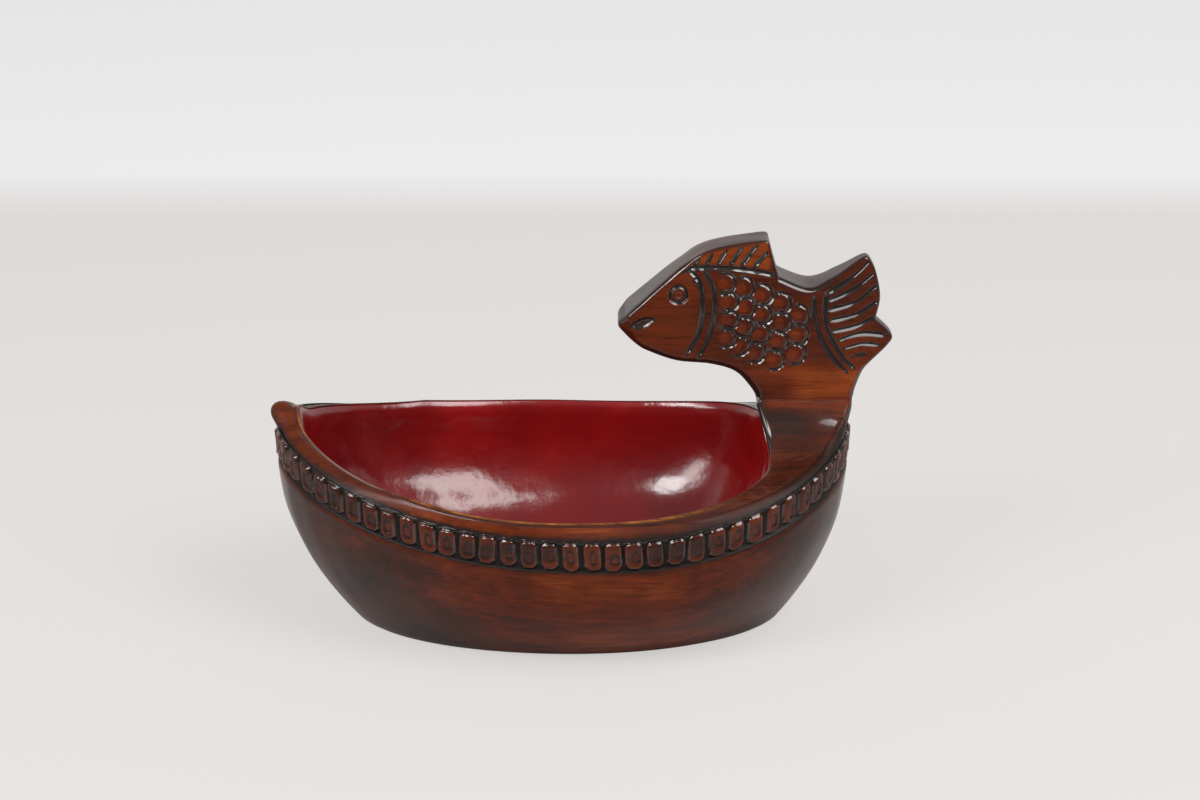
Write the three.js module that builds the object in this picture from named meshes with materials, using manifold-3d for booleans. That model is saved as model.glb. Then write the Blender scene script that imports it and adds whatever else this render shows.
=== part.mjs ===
// Fish-shaped wooden dish: an oval carved bowl whose handle is a fish on a short neck.
// Millimetres, +Z up. The origin is the centre of the flat underside. +X runs towards the fish's tail,
// and the dish is the same on both sides of the XZ plane, but for the far rim, which is a little lower.

import * as THREE from 'three';
import { mergeVertices } from 'three/addons/utils/BufferGeometryUtils.js';
import Module from 'manifold-3d';

const wasm = await Module();
wasm.setup();

// Clearance between pieces that touch
const gap = 0.3;

// Underside
const baseHalfLength = 83.3;
const baseHalfWidth = 40.7;
const baseEdge = 1.2;

// Plan of the bead band: long and pointed to the left, blunt to the right
const beamX = 26;
const beamHalfWidth = 68.9;
const tipReach = 139.6;
const sternReach = 83.7;
const outerPower = 2.05;
const hullFullness = 2.03;

// Rise of the rim towards both ends
const sheerLowX = -1;
const sheerRise = 23.5;
const sheerSpan = 115;
const sheerPower = 2.35;

// The far side of the rim runs a little lower than the near one on its way to the neck
const farFall = 2.8;
const farFallX = -25;
const farFallLength = 95;
const farFallWidth = 40;

// Heights of the rim and the bead band at the lowest point of the rim
const rimHeight = 65.6;
const ridgeDrop = 1.35;
const ridgeDropMost = 3;
const landFall = 0.2;
const bevelDrop = 3.95;
const beadHeight = 11.4;

// Widths across the rim
const bevelSet = 2.7;
const bevelWidth = 3.0;
const bevelCrown = 0.4;
const landWidth = 2.1;
const ridgeTurn = 3;
const beadUndercut = 2.4;

// The rim stands up and out as a short nose at the left-hand tip
const noseSpan = 14;
const noseTaper = 3;
const noseRise = 4;
const noseReach = 3.1;
const noseBulge = 3.0;
const noseBulgePower = 0.6;
const noseBeadDrop = 2.5;

// Carved beads
const beadPitch = 7.7;
const notchWidth = 2.0;
const notchDepth = 1.7;

// Plan and depth of the hollow
const hollowX = 5;
const hollowTipReach = 107.9;
const hollowSternX = 78.4;
const hollowHalfWidth = 60.4;
const tipPower = 1.76;
const sternPower = 3.6;
const sternSquareness = 2.6;
const hollowFloor = 12;
const hollowPower = 2.5;

// Red lacquer
const lacquer = 0.8;
const lacquerEdgeDrop = 0.5;

// Between the tip and the middle the hollow's edge dips a little below the rim
const edgeDip = 1.6;
const edgeDipX = -83;
const edgeDipSpan = 24;

// Saddle and the neck on it
const seatHeight = 94.5;
const neckWidth = 38.2;
const seatLean = 4.4;
const leanPower = 3;
const neckProud = 0.7;
const coveWidth = 24;
const covePower = 2.4;
const seatMargin = 0.7;

// Fish
const fishLength = 105;
const fishGrid = 105;
const fishThickness = 21;
const finThickness = 12.6;
const noseThickness = 12;
const tailThickness = 9;
const tailTipThickness = 5.5;
const edgeRound = 1.4;

// Carved lines of the fish
const grooveWidth = 1.7;
const grooveDepth = 1.0;
const eyeRadius = 2.9;
const mouthLength = 9.8;
const mouthHeight = 3.4;
const mouthDepth = 1.3;

// Dowels
const dowelRadius = 4;
const dowelLength = 30;
const dowelSides = 16;
const frontInset = 13.5;
const rearInset = 9.5;

// Fineness of the meshes
const roundSteps = 88;
const roundCrowding = 0.62;
const bandSteps = 720;
const outlineSteps = 4;
const lineSteps = 7;
const arcSteps = 4;
const hollowSteps = 9;
const hullHeights = [0.12, 0.28, 0.46, 0.66, 0.85];
const landShares = [0.75, 0.5, 0.25, 0];
const bevelShares = [0, 0.12, 0.35, 0.6, 0.85];
// Height share and set of each ring of the bead band
const beadRings = [[0.1, 0.6], [0.5, 0], [0.9, 0], [1, 0.8]];

// Plan curves: two half superellipses that meet at the widest station
const hollowCurve = {
  x: hollowX,
  left: hollowTipReach,
  right: hollowSternX - hollowX,
  half: hollowHalfWidth,
  leftLong: 2,
  leftCross: tipPower,
  rightLong: sternSquareness,
  rightCross: sternPower,
};
const outerCurve = {
  x: beamX,
  left: tipReach,
  right: sternReach,
  half: beamHalfWidth,
  leftLong: outerPower,
  leftCross: outerPower,
  rightLong: outerPower,
  rightCross: outerPower,
};
const baseCurve = {
  x: 0,
  left: baseHalfLength,
  right: baseHalfLength,
  half: baseHalfWidth,
  leftLong: 2,
  leftCross: 2,
  rightLong: 2,
  rightCross: 2,
};

const neckRightX = beamX + sternReach + neckProud;
const seatHalfWidth = fishThickness / 2 + seatMargin;
const beadTopZ = rimHeight - ridgeDrop - bevelDrop - gap;
const beadBottomZ = beadTopZ - beadHeight;
const ridgeSet = bevelSet + bevelWidth;

function lerp(a, b, share) {
  return a + (b - a) * share;
}

function grown(curve, by) {
  return { ...curve, left: curve.left + by, right: curve.right + by, half: curve.half + by };
}

function smoothShare(value) {
  const share = Math.min(Math.max(value, 0), 1);
  return share * share * (3 - 2 * share);
}

function sheer(point) {
  const along = smoothShare((point.x - farFallX) / farFallLength);
  const across = smoothShare(point.y / farFallWidth);
  const rise = sheerRise * Math.pow(Math.abs(point.x - sheerLowX) / sheerSpan, sheerPower);
  return rise - farFall * along * across;
}

// The point of a plan curve in one direction from the middle of the hollow
function planPoint(curve, angle) {
  const dx = Math.cos(angle);
  const dy = Math.sin(angle);
  let inside = 0;
  let outside = 2 * (curve.left + curve.right);
  for (let step = 0; step < 40; step++) {
    const reach = (inside + outside) / 2;
    const x = hollowX + reach * dx - curve.x;
    const long = Math.abs(x) / (x < 0 ? curve.left : curve.right);
    const cross = Math.abs(reach * dy) / curve.half;
    const longPower = x < 0 ? curve.leftLong : curve.rightLong;
    const crossPower = x < 0 ? curve.leftCross : curve.rightCross;
    if (Math.pow(long, longPower) + Math.pow(cross, crossPower) < 1) inside = reach;
    else outside = reach;
  }
  return new THREE.Vector3(hollowX + inside * dx, inside * dy, 0);
}

// 1 on the seat under the neck, falling to 0 where the cove runs out into the rim
function saddleShare(point) {
  if (point.x < hollowX) return 0;
  const run = (Math.abs(point.y) - seatHalfWidth) / coveWidth;
  return Math.pow(1 - Math.min(Math.max(run, 0), 1), covePower);
}

// 1 at the left-hand tip, falling to 0 a short way along both sides
function noseShare(point) {
  if (point.x > hollowX) return 0;
  return Math.pow(Math.max(1 - Math.pow(point.y / noseSpan, 2), 0), noseTaper);
}

function rimTop(point) {
  return rimHeight + sheer(point) + noseRise * noseShare(point);
}

function dipAt(point) {
  return edgeDip * Math.max(1 - Math.pow((point.x - edgeDipX) / edgeDipSpan, 2), 0);
}

function beadSheer(point) {
  return sheer(point) - noseBeadDrop * noseShare(point);
}

function edgePoint(angle) {
  return planPoint(grown(hollowCurve, lacquer + gap), angle);
}

// Top of the bevel: it follows the hollow on the left and the bead band on the right
function ridgePoint(angle) {
  const share = saddleShare(planPoint(grown(outerCurve, -ridgeSet), angle));
  const byHollow = planPoint(grown(hollowCurve, lacquer + gap + landWidth), angle);
  const byBeads = planPoint(grown(outerCurve, -ridgeSet * (1 - share)), angle);
  const point = byHollow.lerp(byBeads, Math.min(Math.max(1 + Math.cos(angle) * ridgeTurn, 0), 1));
  point.z = lerp(rimTop(point) - ridgeFall(angle, point), seatHeight, share);
  return point;
}

function ridgeFall(angle, ridge) {
  const edge = edgePoint(angle);
  const width = Math.hypot(ridge.x - edge.x, ridge.y - edge.y);
  return Math.min(ridgeDrop + landFall * Math.max(width - landWidth, 0), ridgeDropMost);
}

function landPoint(angle, share) {
  const ridge = ridgePoint(angle);
  const point = edgePoint(angle);
  point.x = lerp(point.x, ridge.x, share);
  point.y = lerp(point.y, ridge.y, share);
  const rise = saddleShare(point);
  const fall = lerp(dipAt(point), ridgeFall(angle, ridge), share);
  point.z = lerp(rimTop(point) - fall, seatHeight, rise);
  point.x -= seatLean * rise * (1 - share);
  return point;
}

function bevelFoot(angle) {
  const plain = planPoint(grown(outerCurve, -bevelSet), angle);
  const share = saddleShare(plain);
  const out = noseReach * noseShare(plain) - bevelSet * (1 - share);
  const point = planPoint(grown(outerCurve, out), angle);
  point.z = lerp(rimHeight - ridgeDrop + sheer(point), seatHeight, share) - bevelDrop;
  return point;
}

// The bevel from its foot to the ridge: slightly crowned, and round and full on the nose
function bevelPoint(angle, share) {
  const point = bevelFoot(angle).lerp(ridgePoint(angle), share);
  const arch = 4 * share * (1 - share);
  const bulge = noseBulge * noseShare(point) * Math.pow(arch, noseBulgePower);
  point.x -= bulge;
  point.z += bulge + bevelCrown * arch * (1 - saddleShare(point));
  return point;
}

function hullPoint(angle, height, set) {
  const foot = planPoint(baseCurve, angle);
  const top = planPoint(grown(outerCurve, -set), angle);
  const point = foot.lerp(top, 1 - Math.pow(1 - height, hullFullness));
  point.z = height * (beadBottomZ + beadSheer(top));
  return point;
}

function beadPoint(angle, height, set) {
  const point = planPoint(grown(outerCurve, -set), angle);
  point.z = lerp(beadBottomZ, beadTopZ, height) + beadSheer(point);
  return point;
}

// A point of the hollow's wall, offset into the wood; turn runs from 0 at the floor to 1 at the edge.
// Under the neck the wall climbs to the seat and leans over the hollow.
function hollowPoint(angle, turn, offset) {
  const edge = planPoint(grown(hollowCurve, offset), angle);
  const share = saddleShare(edge);
  const top = lerp(rimTop(edge) - dipAt(edge), seatHeight, share) - lacquerEdgeDrop;
  const reach = Math.pow(Math.sin(turn * Math.PI / 2), 2 / hollowPower);
  const rise = 1 - Math.pow(Math.cos(turn * Math.PI / 2), 2 / hollowPower);
  const lean = seatLean * share * Math.pow(rise, leanPower);
  const z = lerp(hollowFloor - offset, top, rise);
  return new THREE.Vector3(lerp(hollowX, edge.x, reach) - lean, edge.y * reach, z);
}

// A closed lathe net whose rings are bent to the given ring functions; the first and last are on the axis
function ringedBody(firstZ, rings, lastZ) {
  const profile = [new THREE.Vector2(0, 0)];
  rings.forEach((ring, index) => profile.push(new THREE.Vector2(1, index + 1)));
  profile.push(new THREE.Vector2(0, rings.length + 1));
  const geometry = bare(new THREE.LatheGeometry(profile, roundSteps));
  const place = geometry.getAttribute('position');
  for (let i = 0; i < place.count; i++) {
    const ring = Math.round(place.getY(i)) - 1;
    const turn = Math.atan2(place.getX(i), place.getZ(i));
    const angle = Math.atan2(roundCrowding * Math.sin(turn), Math.cos(turn));
    if (ring < 0) place.setXYZ(i, hollowX, 0, firstZ);
    else if (ring === rings.length) place.setXYZ(i, hollowX, 0, lastZ);
    else place.setXYZ(i, ...rings[ring](angle).toArray());
  }
  return geometry;
}

function bare(geometry) {
  geometry.deleteAttribute('normal');
  geometry.deleteAttribute('uv');
  return mergeVertices(geometry, 1e-4);
}

function solid(geometry) {
  const closed = bare(geometry);
  const vertProperties = new Float32Array(closed.getAttribute('position').array);
  const triVerts = new Uint32Array(closed.getIndex().array);
  return new wasm.Manifold(new wasm.Mesh({ numProp: 3, vertProperties, triVerts }));
}

function joined(solids) {
  return solids.reduce((all, one) => all.add(one));
}

function geometryOf(manifold) {
  const mesh = manifold.getMesh();
  const geometry = new THREE.BufferGeometry();
  geometry.setAttribute('position', new THREE.BufferAttribute(new Float32Array(mesh.vertProperties), 3));
  geometry.setIndex(new THREE.BufferAttribute(new Uint32Array(mesh.triVerts), 1));
  geometry.computeVertexNormals();
  return geometry;
}

function placed(geometry, x, y, z) {
  geometry.translate(x, y, z);
  return geometry;
}

// Dowel places, measured from the two faces of the neck
const dowelPlaces = {
  dowel_front: neckRightX - neckWidth + frontInset,
  dowel_rear: neckRightX - rearInset,
};

function upright(radius, length) {
  return new THREE.CylinderGeometry(radius, radius, length, dowelSides).rotateX(Math.PI / 2);
}

function dowelHoles() {
  const holes = Object.values(dowelPlaces).map((x) =>
    solid(placed(upright(dowelRadius + gap, dowelLength + 2 * gap), x, 0, seatHeight)));
  return joined(holes);
}

// Upright V cuts between the beads, at even steps along the bead band
function beadNotches() {
  const points = [];
  for (let i = 0; i < bandSteps; i++) points.push(planPoint(outerCurve, 2 * Math.PI * i / bandSteps));
  const path = new THREE.CatmullRomCurve3(points, true);
  const beads = 2 * Math.round(path.getLength() / beadPitch / 2);
  const cuts = [];
  for (let bead = 0; bead < beads; bead++) {
    const at = path.getPointAt((bead + 0.5) / beads);
    const along = path.getTangentAt((bead + 0.5) / beads);
    const cut = new THREE.CylinderGeometry(1, 1, beadHeight + beadUndercut, 4, 1);
    cut.rotateX(Math.PI / 2);
    cut.scale(notchWidth / 2, notchDepth, 1);
    cut.rotateZ(Math.atan2(along.y, along.x));
    cut.translate(at.x, at.y, (beadBottomZ + beadTopZ) / 2 + beadSheer(at));
    cuts.push(solid(cut));
  }
  return joined(cuts);
}

function bowl() {
  const rings = [
    (angle) => planPoint(grown(baseCurve, -baseEdge), angle),
    (angle) => hullPoint(angle, baseEdge / beadBottomZ, 0),
  ];
  for (const height of hullHeights) rings.push((angle) => hullPoint(angle, height, 0));
  rings.push((angle) => hullPoint(angle, 1, beadUndercut));
  for (const [height, set] of beadRings) rings.push((angle) => beadPoint(angle, height, set));
  for (const share of bevelShares) rings.push((angle) => bevelPoint(angle, share));
  rings.push(ridgePoint);
  for (const share of landShares) rings.push((angle) => landPoint(angle, share));
  for (let step = hollowSteps; step > 0; step--) {
    rings.push((angle) => hollowPoint(angle, step / hollowSteps, lacquer + gap));
  }
  const body = solid(ringedBody(0, rings, hollowFloor - lacquer - gap));
  return geometryOf(body.subtract(beadNotches()).subtract(dowelHoles()));
}

function lacquerLining() {
  const rings = [];
  for (let step = 1; step <= hollowSteps; step++) {
    rings.push((angle) => hollowPoint(angle, step / hollowSteps, lacquer));
  }
  for (let step = hollowSteps; step > 0; step--) {
    rings.push((angle) => hollowPoint(angle, step / hollowSteps, 0));
  }
  return ringedBody(hollowFloor - lacquer, rings, hollowFloor);
}

// The fish is drawn in grid steps along X and Z, from near the foot of the neck's right-hand side
const unit = fishLength / fishGrid;
const fishLeft = -91;
const fishTop = 61.3;
const tailTip = [3.5, 53.9];
const finTip = [-34.2, fishTop - 0.2];

function fishOutline() {
  const shape = new THREE.Shape();
  const line = ([x, z]) => shape.lineTo(x * unit, z * unit);
  const thru = (points) => shape.splineThru(points.map(([x, z]) => new THREE.Vector2(x * unit, z * unit)));
  shape.moveTo(-0.8, 0);
  line([0.3, 4]);
  thru([[4, 11.2], [11.6, 18.2], [13.7, 22.6], [7, 29.4]]);
  thru([[8.6, 38], [6.6, 48]]);
  line(tailTip);
  line([-0.6, 52.5]);
  thru([[-10.1, 46.6], [-19, 43.2], [-30.6, 47.6]]);
  thru([[-33.4, 57.5]]);
  line(finTip);
  line([-38, fishTop]);
  thru([[-56.3, 57.4], [-67.8, 50.2], [-84.3, 36], [-89, 31.6]]);
  thru([[fishLeft, 28.4], [-89.2, 25]]);
  thru([[-82, 19.4], [-69, 14.4], [-55.7, 12.9], [-46.5, 10], [-41, 4.4]]);
  line([-neckWidth / unit, 0]);
  return shape;
}

// Half thickness of the fish: full on the body and neck, thinner in the dorsal fin, the nose and the tail.
// The taper along the fish leans, so that the tail is thin to its tip and the neck's foot stays full.
const taperByHeight = [[-1, fishThickness], [34, fishThickness], [fishTop + 1, finThickness]];
const taperByLength = [[fishLeft - 1, noseThickness], [fishLeft + 7, fishThickness],
  [-15, fishThickness], [6, tailThickness], [15, tailTipThickness]];
const taperLean = 0.4;
const taperHeight = 25.7;

function alongTaper(taper, at) {
  const last = taper.length - 1;
  if (at <= taper[0][0]) return taper[0][1] / 2;
  for (let i = 0; i < last; i++) {
    const [start, startWidth] = taper[i];
    const [end, endWidth] = taper[i + 1];
    if (at < end) return lerp(startWidth, endWidth, (at - start) / (end - start)) / 2;
  }
  return taper[last][1] / 2;
}

function halfThickness(x, z) {
  const leaned = x + taperLean * (z - taperHeight);
  return Math.min(alongTaper(taperByLength, leaned), alongTaper(taperByHeight, z));
}

function taperShape(taper) {
  const shape = new THREE.Shape();
  const there = taper.map(([at, width]) => new THREE.Vector2(at * unit, width / 2));
  const back = taper.map(([at, width]) => new THREE.Vector2(at * unit, -width / 2)).reverse();
  shape.setFromPoints([...back, ...there]);
  return shape;
}

function fishBlank() {
  const slab = new THREE.ExtrudeGeometry(fishOutline(), {
    depth: fishThickness - 2 * edgeRound,
    curveSegments: outlineSteps,
    bevelThickness: edgeRound,
    bevelSize: edgeRound,
    bevelOffset: -edgeRound,
    bevelSegments: 2,
  });
  slab.translate(0, 0, edgeRound - fishThickness / 2);
  slab.rotateX(Math.PI / 2);
  const prism = { depth: (fishTop - fishLeft) * unit + 2 * fishThickness, bevelEnabled: false };
  const fromAbove = new THREE.ExtrudeGeometry(taperShape(taperByLength), prism);
  fromAbove.translate(0, 0, -taperHeight * unit - fishThickness);
  fromAbove.applyMatrix4(new THREE.Matrix4().makeShear(0, 0, 0, 0, -taperLean, 0));
  fromAbove.translate(0, 0, taperHeight * unit);
  const fromEnd = new THREE.ExtrudeGeometry(taperShape(taperByHeight), prism);
  fromEnd.translate(0, 0, -fishThickness);
  fromEnd.rotateY(-Math.PI / 2);
  return solid(slab).intersect(solid(fromAbove)).intersect(solid(fromEnd));
}

// A place drawn on the fish's side; side is -1 for the near face and 1 for the far one
function onSide(x, z, side) {
  return new THREE.Vector3(x * unit, side * halfThickness(x, z), z * unit);
}

function groove(line, side, steps) {
  const points = line.map(([x, z]) => onSide(x, z, side));
  const path = new THREE.CatmullRomCurve3(points);
  const section = new THREE.Shape();
  section.moveTo(grooveDepth, 0);
  section.lineTo(0, grooveWidth / 2);
  section.lineTo(-grooveDepth, 0);
  section.lineTo(0, -grooveWidth / 2);
  section.closePath();
  return solid(new THREE.ExtrudeGeometry(section, { steps, extrudePath: path }));
}

// Long carved lines: two gill covers, the foot of the dorsal fin, and the two bands at the root of the tail
const carvedLines = [
  [[-64, 50.2], [-60, 45], [-59, 36], [-60.5, 26], [-64.4, 18]],
  [[-58.4, 50.5], [-55, 43], [-54.8, 34], [-56.4, 25], [-59.1, 17.7]],
  [[-66, 50], [-56.2, 51.7], [-45.8, 50.9], [-32.5, 49.4]],
  [[-17.1, 41], [-16.9, 34.4], [-14.8, 25.7], [-10.7, 17.7], [-4.8, 11]],
  [[-12.6, 41], [-12.7, 32.1], [-10.2, 24.1], [-5.3, 15.5], [-1.3, 11.6]],
];
const rays = [
  [[-59.9, 55], [-62.5, 51.9]],
  [[-55.5, 56.5], [-57.7, 52.6]],
  [[-50, 58], [-53.2, 53]],
  [[-44.1, 59.5], [-48.8, 53]],
  [[-38.5, 59.5], [-44.7, 53]],
  [[-35, 57.5], [-39.9, 52.2]],
  [[-11, 41.6], [-2, 46.2], [4.2, 52]],
  [[-11, 38.5], [-1.7, 41.5], [6, 46.6]],
  [[-10.6, 34.7], [-0.7, 36.6], [7.4, 42]],
  [[-10, 30.4], [-0.5, 31.9], [6.8, 35.8]],
  [[-9.3, 26.4], [-0.4, 27.4], [5.6, 29.2]],
  [[-6.2, 22.9], [1.3, 24.1], [11.6, 22.2]],
  [[-4.6, 19.5], [2.2, 20.4], [9, 19.4]],
];
// Scales, in grid steps
const scaleRadius = 3.7;
const scaleTurn = 1.45;
const scaleColumnPitch = 6.9;
const scaleRowPitch = 7.4;
const scaleLeft = -50.6;
const scaleColumns = [
  { z: 45.2, count: 4 },
  { z: 43.2, count: 4 },
  { z: 40.2, count: 4 },
  { z: 37.2, count: 4 },
  { z: 32.9, count: 3 },
];
const eye = [-68.2, 41.1];
const mouth = [-81.8, 30.1];
const mouthTilt = 0.33;

// The open arc of one scale, bulging towards the tail
function scaleArc(x, z) {
  const points = [];
  for (let part = 0; part <= arcSteps; part++) {
    const turn = lerp(-scaleTurn, scaleTurn, part / arcSteps);
    points.push([x + scaleRadius * Math.cos(turn), z + scaleRadius * Math.sin(turn)]);
  }
  return points;
}

function eyeCut(side) {
  const ring = new THREE.TorusGeometry(eyeRadius, grooveWidth / 2, 4, 14);
  ring.rotateX(Math.PI / 2);
  return solid(placed(ring, ...onSide(...eye, side)));
}

function mouthCut(side) {
  const cut = new THREE.SphereGeometry(1, 10, 5);
  cut.scale(mouthLength / 2, mouthDepth, mouthHeight / 2);
  cut.rotateY(-mouthTilt);
  return solid(placed(cut, ...onSide(...mouth, side)));
}

function carving(side) {
  const cuts = [eyeCut(side), mouthCut(side)];
  for (const line of carvedLines) cuts.push(groove(line, side, lineSteps));
  for (const line of rays) cuts.push(groove(line, side, line.length));
  scaleColumns.forEach((column, index) => {
    for (let row = 0; row < column.count; row++) {
      const arc = scaleArc(scaleLeft + index * scaleColumnPitch, column.z - row * scaleRowPitch);
      cuts.push(groove(arc, side, arcSteps));
    }
  });
  return cuts;
}

function fishHandle() {
  let body = fishBlank();
  for (const cut of [...carving(-1), ...carving(1)]) body = body.subtract(cut);
  body = body.translate(neckRightX, 0, seatHeight + gap);
  return geometryOf(body.subtract(dowelHoles()));
}

function finish(color, roughness) {
  return new THREE.MeshStandardMaterial({ color, roughness, metalness: 0 });
}

function piece(name, geometry, material) {
  const mesh = new THREE.Mesh(geometry, material);
  mesh.name = name;
  return mesh;
}

const dish = new THREE.Group();
dish.add(piece('bowl', bowl(), finish(0x5a281c, 0.25)));
dish.add(piece('lacquer_lining', lacquerLining(), finish(0x70090c, 0.15)));
dish.add(piece('fish_handle', fishHandle(), finish(0x5a2a1a, 0.25)));
for (const [name, x] of Object.entries(dowelPlaces)) {
  const dowel = piece(name, upright(dowelRadius, dowelLength), finish(0xb98a5c, 0.7));
  dowel.position.set(x, 0, seatHeight);
  dish.add(dowel);
}

export default dish;
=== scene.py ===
"""Carved oval dish with a fish at one end: fine carving, varnish and lacquer over the dish's frame."""
import math

import bmesh
import bpy
import numpy as np
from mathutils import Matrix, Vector, geometry, kdtree


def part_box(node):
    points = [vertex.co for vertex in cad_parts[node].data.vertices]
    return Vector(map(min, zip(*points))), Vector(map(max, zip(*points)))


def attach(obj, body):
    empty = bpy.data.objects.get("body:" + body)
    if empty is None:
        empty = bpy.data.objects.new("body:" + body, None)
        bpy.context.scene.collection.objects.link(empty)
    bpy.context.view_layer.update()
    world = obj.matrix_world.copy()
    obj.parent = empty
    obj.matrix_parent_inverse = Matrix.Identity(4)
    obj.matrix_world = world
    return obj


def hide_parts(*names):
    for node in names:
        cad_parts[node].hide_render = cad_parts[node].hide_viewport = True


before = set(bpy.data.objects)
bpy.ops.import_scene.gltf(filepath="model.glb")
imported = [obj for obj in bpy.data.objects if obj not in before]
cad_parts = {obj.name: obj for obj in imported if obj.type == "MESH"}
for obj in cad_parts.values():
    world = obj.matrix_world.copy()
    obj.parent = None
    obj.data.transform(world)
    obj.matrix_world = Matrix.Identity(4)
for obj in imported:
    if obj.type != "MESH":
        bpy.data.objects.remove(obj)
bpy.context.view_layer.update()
_, bowl_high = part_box("bowl")
lining_low, lining_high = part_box("lacquer_lining")
fish_low, fish_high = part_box("fish_handle")

MM = 0.001

# Hull and rim, in millimetres, taken from the frame where it gives them
TIP_X = -113.6
STERN_X = bowl_high.x / MM
BEAM_X = 26.0
BEAM_HALF = bowl_high.y / MM
BASE_HALF_LENGTH = 83.3
BASE_HALF_WIDTH = 40.7
HULL_FULLNESS = 2.03
HULL_RIPPLE = 0.22
SHEER_LOW_X = -1.0
SHEER_RISE = 23.5
SHEER_SPAN = 115.0
SHEER_POWER = 2.35
FAR_FALL = 2.8
FAR_FALL_X = -25.0
FAR_FALL_LENGTH = 95.0
FAR_FALL_WIDTH = 40.0
RIM_Z = 65.6
RIDGE_DROP = 1.35
RIDGE_DROP_MOST = 3.0
LAND_FALL = 0.2
LAND_WIDTH = 2.1
LAND_ROUND = 0.25
BEVEL_DROP = 3.95
BEVEL_SET = 2.7
BEVEL_CROWN = 0.4
RIDGE_SET = 5.7
BEAD_TOP_Z = 60.0
BEAD_BOTTOM_Z = 48.6
SEAT_Z = bowl_high.z / MM

# Nose of the rim at the tip
NOSE_SPAN = 14.0
NOSE_RISE = 4.0
NOSE_REACH = 3.1
NOSE_BULGE = 3.0
NOSE_BEAD_DROP = 2.5

# Hollow
HOLLOW_X = 5.0
LACQUER = 0.8
HOLLOW_TIP = HOLLOW_X - lining_low.x / MM - LACQUER
HOLLOW_STERN = 73.4
HOLLOW_HALF = lining_high.y / MM - LACQUER
HOLLOW_FLOOR = 12.0
HOLLOW_POWER = 2.5
EDGE_DIP = 1.6
EDGE_DIP_X = -83.0
EDGE_DIP_SPAN = 24.0

# The lacquer flares out under the wooden edge: a wide curve, then a short lip
FLARE_FROM = 0.955
FLARE = 1.1
LIP_FROM = 0.986
LIP = 0.7

# Saddle under the neck, and its right-hand shoulder
SEAT_HALF = 11.2
SEAT_LEAN = 6.6
LEAN_POWER = 6.0
EDGE_ROUND = 0.35
SADDLE_ROUND = 2.2
COVE_WIDTH = 24.0
COVE_POWER = 2.4
SHOULDER_FALL = 1.9
SHOULDER = (103.5, 14, 89)
SHOULDER_REACH = 5
SHOULDER_GLOSS = 0.9

# Carved beads, in millimetres, and the least and the most of what differs from bead to bead
BEADS = 74
BEAD_COLUMNS = 14
BEAD_CROWDING = 0.035
BEAD_TALL = 11.4
BEAD_RELIEF = 1.9
BEAD_FLANK = 0.55
BEAD_DOME = 0.45
BEAD_SHOULDER = 0.95
BEAD_FOOT_RADIUS = 2.9
BEAD_TOP_RADIUS = 2.2
BEAD_UNDERCUT = 0.4
BEAD_NOTCH = 1.6
BEAD_VARIETY = {
    "half": (3.2, 3.62), "shift": (-0.25, 0.25), "low": (-0.7, 0.3), "high": (10.6, 11.5),
    "tilt": (-0.09, 0.09), "proud": (0.75, 1.0), "ring_x": (-0.2, 0.9), "ring_z": (4.6, 6.0),
    "ring_half": (1.3, 1.85), "ring_tall": (2.3, 3.3), "ring_deep": (0.7, 1.2), "nick": (-1.8, 1.8),
}

# Rings on the land, as shares of its width, and down the hollow, as turns and depths behind the lacquer
LAND_RINGS = (0.985, 0.93, 0.84, 0.72, 0.58, 0.44, 0.32, 0.22, 0.15)
WALL_RINGS = ((0.985, 0.3), (0.97, 0.9), (0.9, 1.6), (0.75, 2.4), (0.55, 2.4), (0.38, 2.2), (0.28, 2.0),
              (0.19, 1.7), (0.11, 1.4), (0.05, 1.2))

# The finish painted on the mesh: black stain in grooves and painted shade, worn bare wood, warmth of the stain
# with some painted shade, and gloss
PLAIN = {"groove": 0.0, "wear": 0.0, "tint": 0.35, "gloss": 0.0}
HIDDEN = {"groove": 1.0, "tint": 0.3}
BEAD_TINT = 0.34


class Plan:
    """A closed plan curve: two half superellipses that meet at the station x."""

    halvings = 40
    reach_most = 400.0

    def __init__(self, x, left, right, half, long_powers, cross_powers):
        self.x, self.left, self.right, self.half = x, left, right, half
        self.powers = long_powers, cross_powers

    def grown(self, by):
        return Plan(self.x, self.left + by, self.right + by, self.half + by, *self.powers)

    def points(self, angles):
        """The curve's points in the given directions from the middle of the hollow."""
        dx, dy = np.cos(angles), np.sin(angles)
        inside, outside = np.zeros_like(angles), np.full_like(angles, self.reach_most)
        for _ in range(self.halvings):
            reach = (inside + outside) / 2
            x = HOLLOW_X + reach * dx - self.x
            left = x < 0
            long = np.abs(x) / np.where(left, self.left, self.right)
            cross = np.abs(reach * dy) / self.half
            long_power, cross_power = (np.where(left, *powers) for powers in self.powers)
            within = long ** long_power + cross ** cross_power < 1
            inside = np.where(within, reach, inside)
            outside = np.where(within, outside, reach)
        return np.stack([HOLLOW_X + inside * dx, inside * dy, np.zeros_like(angles)], 1)


OUTER = Plan(BEAM_X, BEAM_X - TIP_X, STERN_X - BEAM_X, BEAM_HALF, (2.05, 2.05), (2.05, 2.05))
HOLLOW = Plan(HOLLOW_X, HOLLOW_TIP, HOLLOW_STERN, HOLLOW_HALF, (2.0, 2.6), (1.76, 3.6))
BASE = Plan(0.0, BASE_HALF_LENGTH, BASE_HALF_LENGTH, BASE_HALF_WIDTH, (2.0, 2.0), (2.0, 2.0))


def lerp(a, b, share):
    return a + (b - a) * share


def smooth(value, low, high):
    t = np.clip((np.asarray(value, float) - low) / (high - low), 0, 1)
    return t * t * (3 - 2 * t)


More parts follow.
